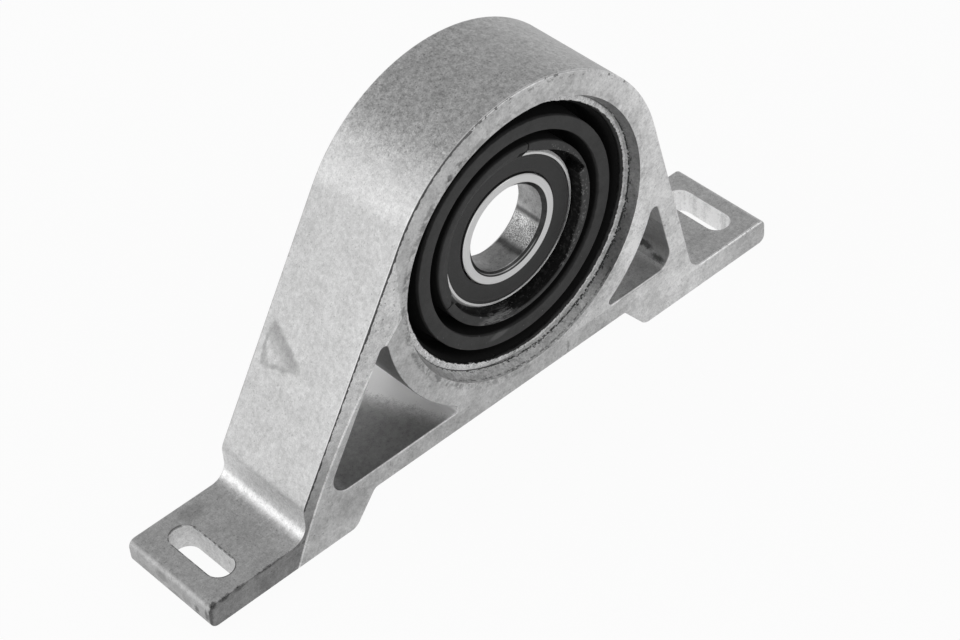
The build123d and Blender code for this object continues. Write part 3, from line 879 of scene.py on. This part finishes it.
def spun_piece(name, outline_at, steps, sharp=math.radians(35)):
    """Spins an outline about the shaft's axis. outline_at(angle) gives its (radius, y) points there."""
    bm = bmesh.new()
    station = bm.verts.layers.int.new("station")
    first = outline_at(0.0)
    verts = [bm.verts.new((point[0], point[1], 0.0)) for point in first]
    for index, vert in enumerate(verts):
        vert[station] = index
    edges = [bm.edges.new((verts[index - 1], vert)) for index, vert in enumerate(verts)]
    bmesh.ops.spin(
        bm, geom=verts + edges, cent=(0, 0, 0), axis=(0, 1, 0), dvec=(0, 0, 0), angle=math.tau, steps=steps,
        use_merge=True,
    )
    outlines = {}
    for vert in bm.verts:
        angle = math.atan2(vert.co.z, vert.co.x) % math.tau
        key = round(angle / math.tau * steps) % steps
        if key not in outlines:
            outlines[key] = outline_at(key / steps * math.tau)
        radius, y = outlines[key][vert[station]]
        turn = key / steps * math.tau
        vert.co = (radius * math.cos(turn), y, radius * math.sin(turn))
    bmesh.ops.remove_doubles(bm, verts=bm.verts, dist=0.000001)
    bmesh.ops.dissolve_degenerate(bm, edges=bm.edges, dist=0.000001)
    bmesh.ops.recalc_face_normals(bm, faces=bm.faces)
    for face in bm.faces:
        face.smooth = True
    for edge in bm.edges:
        edge.smooth = not edge.is_manifold or edge.calc_face_angle() < sharp
    mesh = bpy.data.meshes.new(name)
    bm.to_mesh(mesh)
    bm.free()
    obj = bpy.data.objects.new(name, mesh)
    bpy.context.scene.collection.objects.link(obj)
    return obj


def ragged(angle, radius, seed, size_mm):
    """Smooth random number from -1 to 1 for a place round a ring."""
    turns = radius / (size_mm * MM)
    return noise.noise(Vector((math.cos(angle) * turns, math.sin(angle) * turns, seed * 7.3)))


def sleeve_outline(settings, angle):
    """Half section of the sleeve, whose inner edges are torn and burred."""
    outer = sleeve_high.x
    inner = outer - settings.wall
    edge = settings.edge
    start = sleeve_low.y
    end = sleeve_high.y
    wave = 0.5 + 1.1 * ragged(angle, outer, 1, 1.6) + 0.6 * ragged(angle, outer, 2, 0.6)
    tear = settings.burr * max(0.0, wave)
    return rounded_outline([
        (inner, start + edge + tear * 0.6, edge), (inner + tear, start + tear * 0.2, edge * 0.5),
        (outer, start, edge), (outer, end, edge), (inner, end, edge),
    ])


def collar_front(settings, degrees):
    """Corners of the collar's front at an angle round the shaft, from its rim to the bearing's front face."""
    race_r = race_high.x
    race_y = race_low.y
    outer = race_r + settings.collar_wall
    front = bracket_low.y + settings.collar_inset
    edge = 0.25 * MM
    if degrees < LIP_START:
        degrees += 360.0
    if degrees <= LIP_END:
        past = max(0.0, degrees - LIP_TAPER)
        hold = settings.lip_hold - (settings.lip_hold - 0.3 * MM) * past / (LIP_END - LIP_TAPER)
        lip = race_r - hold
        inner = [
            (outer - settings.collar_rim, front, edge), (lip, race_y - settings.lip_thickness, edge),
            (lip, race_y, edge * 0.4), (race_r, race_y, 0.0),
        ]
    else:
        floor = front + settings.pocket_depth
        rim_edge = edge
        if degrees <= ROUGH_END:
            wall = race_r + settings.rough_pocket
            floor = front + settings.rough_depth
            rim_edge = edge * 2
        elif degrees <= NARROW_END:
            wall = race_r + settings.narrow_pocket
        elif degrees <= WIDE_END:
            narrowing = max(0.0, (NARROW_END + NARROWING - degrees) / NARROWING) ** 2
            wall = race_r + settings.wide_pocket + (settings.narrow_pocket - settings.wide_pocket) * narrowing
            wall += 0.25 * MM * ragged(math.radians(degrees), race_r, 5, 1.5)
        else:
            share = (LIP_START + 360.0 - degrees) / (LIP_START + 360.0 - WIDE_END)
            beside_slit = max(0.0, 1.0 - share / OPENED_SHARE)
            wave = ragged(math.radians(degrees), race_r, 6, 1.2)
            wall = race_r + settings.collar_lead + settings.slit_opening * beside_slit ** 1.5
            wall += settings.torn_edge * share ** 1.5 + 0.3 * MM * share * wave
            floor = front + edge * 4 + settings.torn_depth * share + settings.slit_drop * beside_slit
        inner = [
            (wall, front, rim_edge), (wall, floor, edge),
            (race_r + edge, floor, 0.0), (race_r, floor + edge, 0.0),
        ]
    slit = any(abs(degrees - angle) < SLIT_REACH for angle in (LIP_START, LIP_START + 360, LIP_END))
    drop = settings.slit_depth if slit else 0.0
    on_face = race_y - settings.lip_thickness
    lowered = [(radius, y + drop if y < on_face else y, rounding) for radius, y, rounding in inner]
    return [(outer, front + drop, edge * 2), *lowered]


def rubber_outline(settings, angle):
    """Half section of the rubber at an angle: lining, grooves, rib, collar and rear hollow."""
    degrees = math.degrees(angle)
    race_r = race_high.x
    sleeve_bore = rubber_high.x
    lining_r = sleeve_bore - settings.lining
    collar_r = race_r + settings.collar_wall
    rib_inner = collar_r + settings.inner_groove
    rib_outer = rib_inner + settings.rib_width
    flare = settings.rib_flare
    start = sleeve_low.y + settings.lining_inset
    rib_y = rubber_low.y
    floor_y = rib_y + settings.groove_depth
    back_y = floor_y + settings.web
    rear = race_high.y
    lip = race_r - settings.lip_hold
    rear_lip = rear + settings.rear_lip
    soft = settings.groove_floor
    rim = 0.35 * MM
    lump = settings.lumps * ragged(angle, rib_outer, 3, 2.2)
    film = settings.flash * max(0.0, 0.35 + 1.2 * ragged(angle, sleeve_bore, 4, 1.3))
    corners = [
        (sleeve_bore, start, 0.0),
        (sleeve_bore - 0.05 * MM - film * 0.3, start - settings.lining_inset * 0.7 + film, 0.2 * MM),
        (lining_r, start + settings.lining, soft),
        (lining_r, floor_y, soft), (rib_outer + flare, floor_y, soft),
        (rib_outer + lump * 0.5, rib_y + lump * 0.5, rim), (rib_inner + lump * 0.5, rib_y - lump * 0.5, rim),
        (rib_inner - flare, floor_y, soft), (collar_r, floor_y, soft),
        *collar_front(settings, degrees),
        (race_r, rear, 0.0), (lip, rear, 0.0), (lip, rear_lip, 0.3 * MM), (collar_r, rear_lip, 0.3 * MM),
        (collar_r + settings.lining, back_y, soft), (lining_r - settings.lining, back_y, soft),
        (lining_r, rubber_high.y, 0.3 * MM), (sleeve_bore, rubber_high.y, 0.0),
    ]
    return rounded_outline(corners, 3)


def replace_piece(node, name, material, outline_at, steps):
    """Spins a piece, finishes it and puts it in the place of a solid."""
    piece = spun_piece(name, outline_at, steps)
    give(piece, material)
    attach(piece, "mount")
    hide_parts(node)


def seal_outline(settings, side):
    """Half section of a seal: a rim in the race's seat, a moulded step and a thin lip near the inner ring."""
    face = side * max(abs(seal_low.y), abs(seal_high.y))
    back = face - side * settings.seal_thickness
    rim = seal_high.x
    lip = settings.bore_radius + settings.inner_wall + settings.seal_lip_gap
    step = side * settings.seal_step
    width = rim - lip
    corners = [
        (lip, back, 0.0), (rim, back, 0.0), (rim, face - step, 0.1 * MM), (rim - 0.3 * MM, face, 0.1 * MM),
        (rim - width * 0.16, face, 0.1 * MM), (rim - width * 0.2, face - step, 0.1 * MM),
        (lip + width * 0.2, face - step, 0.1 * MM), (lip + 0.3 * MM, face - step * 2, 0.1 * MM),
        (lip, face - step * 3, 0.1 * MM),
    ]
    return rounded_outline(corners, 2)


class CENTREBEARING_OT_stage(bpy.types.Operator):
    """Add the floor, the room's light, the softboxes and the camera"""

    bl_idname = "centre_bearing.stage"
    bl_label = "Stage"

    def execute(self, context):
        settings = context.scene.centre_bearing_studio
        self.floor(context, settings)
        self.room(context, settings)
        self.softbox(context, "left softbox", (-1.3, 0.25, 0.45), 1.1, settings.left_power)
        self.softbox(context, "front softbox", (0.7, -1.3, 0.5), 0.9, settings.front_power)
        self.camera(context, settings)
        context.scene.view_settings.view_transform = "Standard"
        return {"FINISHED"}

    def floor(self, context, settings):
        bm = bmesh.new()
        bmesh.ops.create_grid(bm, x_segments=2, y_segments=2, size=settings.floor_size / 2)
        bmesh.ops.translate(bm, verts=bm.verts, vec=(0, 0, bracket_low.z))
        mesh = bpy.data.meshes.new("floor")
        bm.to_mesh(mesh)
        bm.free()
        floor = bpy.data.objects.new("floor", mesh)
        context.scene.collection.objects.link(floor)
        material, graph, shader = new_material("pale floor")
        shader.inputs["Base Color"].default_value = colour(settings.floor_colour)
        shader.inputs["Roughness"].default_value = 0.9
        rays = graph.add("LightPath").outputs
        seen = graph.plus(rays["Is Camera Ray"], rays["Is Transmission Ray"], clamp=True)
        share = graph.product(seen, settings.floor_light)
        near = graph.span(Place(graph).y, -40.0, 0.0, settings.front_gloss, settings.rear_gloss)
        deep = graph.above(rays["Ray Depth"], 1.5)
        gloss = graph.blend(deep, near, settings.deep_gloss)
        mirrored = graph.product(rays["Is Glossy Ray"], gloss)
        share = graph.plus(share, mirrored, clamp=True)
        white = graph.add("Emission", {"Color": (1, 1, 1, 1), "Strength": 1.0}).outputs[0]
        both = graph.add("MixShader", {0: share, 1: shader.outputs[0], 2: white}).outputs[0]
        output = material.node_tree.nodes["Material Output"]
        graph.feed(output.inputs["Surface"], both)
        give(floor, material)

    def room(self, context, settings):
        """A pale room, bright at the horizon, higher up on the left, and dimmer overhead"""
        world = bpy.data.worlds.new("room")
        world.use_nodes = True
        graph = Graph(world.node_tree)
        direction = graph.add("TexCoord").outputs["Generated"]
        parts = graph.add("SeparateXYZ", {0: direction}).outputs
        height = graph.plus(parts["Z"], graph.product(parts["X"], 0.3))
        level = graph.span(height, 0.18, 0.62, settings.horizon, settings.ceiling)
        background = world.node_tree.nodes["Background"]
        background.inputs["Color"].default_value = (1, 1, 1, 1)
        graph.feed(background.inputs["Strength"], level)
        context.scene.world = world

    def softbox(self, context, name, location, size, power):
        light = bpy.data.lights.new(name, "AREA")
        light.size = size
        light.energy = power
        lamp = bpy.data.objects.new(name, light)
        lamp.location = location
        lamp.rotation_mode = "QUATERNION"
        lamp.rotation_quaternion = (-Vector(location)).to_track_quat("-Z", "Y")
        lamp.visible_camera = False
        context.scene.collection.objects.link(lamp)

    def camera(self, context, settings):
        data = bpy.data.cameras.new("camera")
        data.sensor_width = 36.0
        data.lens = settings.lens
        data.clip_start = 0.01
        data.clip_end = 50.0
        camera = bpy.data.objects.new("camera", data)
        turn = Matrix.Rotation(settings.azimuth, 4, "Z")
        tilt = Matrix.Rotation(math.pi / 2 - settings.elevation, 4, "X")
        roll = Matrix.Rotation(settings.roll, 4, "Z")
        spin = turn @ tilt @ roll
        back = spin.to_3x3() @ Vector((0, 0, 1))
        camera.matrix_world = Matrix.Translation(Vector(settings.target) + back * settings.distance) @ spin
        context.scene.collection.objects.link(camera)
        context.scene.camera = camera


class CENTREBEARING_OT_bracket(bpy.types.Operator):
    """Finish the bracket as cast and milled aluminium"""

    bl_idname = "centre_bearing.bracket"
    bl_label = "Bracket"

    def execute(self, context):
        give(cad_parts["bracket"], aluminium_material(context.scene.centre_bearing_bracket))
        return {"FINISHED"}


class CENTREBEARING_OT_sleeve(bpy.types.Operator):
    """Make the pressed-in steel sleeve with its torn inner edge"""

    bl_idname = "centre_bearing.sleeve"
    bl_label = "Sleeve"

    def execute(self, context):
        settings = context.scene.centre_bearing_sleeve
        replace_piece(
            "outer_sleeve", "steel_sleeve", torn_steel_material(settings),
            lambda angle: sleeve_outline(settings, angle), settings.steps,
        )
        return {"FINISHED"}


class CENTREBEARING_OT_rubber(bpy.types.Operator):
    """Make the moulded rubber mount with its grooves, rib, collar and pockets"""

    bl_idname = "centre_bearing.rubber"
    bl_label = "Rubber Mount"

    def execute(self, context):
        settings = context.scene.centre_bearing_rubber
        replace_piece(
            "rubber_mount", "rubber_ring", mount_rubber_material(settings),
            lambda angle: rubber_outline(settings, angle), settings.steps,
        )
        return {"FINISHED"}


class CENTREBEARING_OT_bearing(bpy.types.Operator):
    """Finish the ball bearing's rings, seals, cage and balls"""

    bl_idname = "centre_bearing.bearing"
    bl_label = "Ball Bearing"

    def execute(self, context):
        settings = context.scene.centre_bearing_bearing
        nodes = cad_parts
        ground = ring_steel_material(settings)
        give(nodes["outer_race"], ground)
        give(nodes["inner_race"], ground)
        seal_rubber = rubber_material(
            "seal rubber", settings.seal_colour, grain_mm=0.35, roughness=0.55, depth_mm=0.02,
        )
        for side, node in ((-1, "front_seal"), (1, "rear_seal")):
            replace_piece(
                node, node + "_moulded", seal_rubber,
                lambda angle, side=side: seal_outline(settings, side), settings.seal_steps,
            )
        pressed = steel_material(
            "cage steel", settings.cage_colour, spacing_mm=0.3, contrast=0.3, roughness=0.35,
        )
        for node in ("cage_front", "cage_rear", "cage_rivets"):
            give(nodes[node], pressed)
        polished = steel_material(
            "ball steel", settings.ball_colour, spacing_mm=0.4, contrast=0.08, roughness=0.12,
        )
        for name in sorted(nodes):
            if name.startswith("ball_"):
                give(nodes[name], polished)
        return {"FINISHED"}


class CENTREBEARING_PT_panel(bpy.types.Panel):
    """Lists the pieces and their settings"""

    bl_idname = "CENTREBEARING_PT_panel"
    bl_label = "Centre Bearing"
    bl_space_type = "VIEW_3D"
    bl_region_type = "UI"
    bl_category = "Centre Bearing"

    def draw(self, context):
        for name, group, operator in PIECES:
            box = self.layout.box()
            box.operator(operator.bl_idname)
            for setting in group.__annotations__:
                box.prop(getattr(context.scene, name), setting)


PIECES = (
    ("centre_bearing_studio", CentreBearingStudio, CENTREBEARING_OT_stage),
    ("centre_bearing_bracket", CentreBearingBracket, CENTREBEARING_OT_bracket),
    ("centre_bearing_sleeve", CentreBearingSleeve, CENTREBEARING_OT_sleeve),
    ("centre_bearing_rubber", CentreBearingRubber, CENTREBEARING_OT_rubber),
    ("centre_bearing_bearing", CentreBearingBearing, CENTREBEARING_OT_bearing),
)


def register():
    for name, group, operator in PIECES:
        bpy.utils.register_class(group)
        setattr(bpy.types.Scene, name, PointerProperty(type=group))
        bpy.utils.register_class(operator)
    bpy.utils.register_class(CENTREBEARING_PT_panel)


def unregister():
    bpy.utils.unregister_class(CENTREBEARING_PT_panel)
    for name, group, operator in reversed(PIECES):
        bpy.utils.unregister_class(operator)
        delattr(bpy.types.Scene, name)
        bpy.utils.unregister_class(group)


def main():
    register()
    bpy.ops.centre_bearing.stage()
    bpy.ops.centre_bearing.bracket()
    bpy.ops.centre_bearing.sleeve()
    bpy.ops.centre_bearing.rubber()
    bpy.ops.centre_bearing.bearing()


if __name__ == "__main__":
    main()
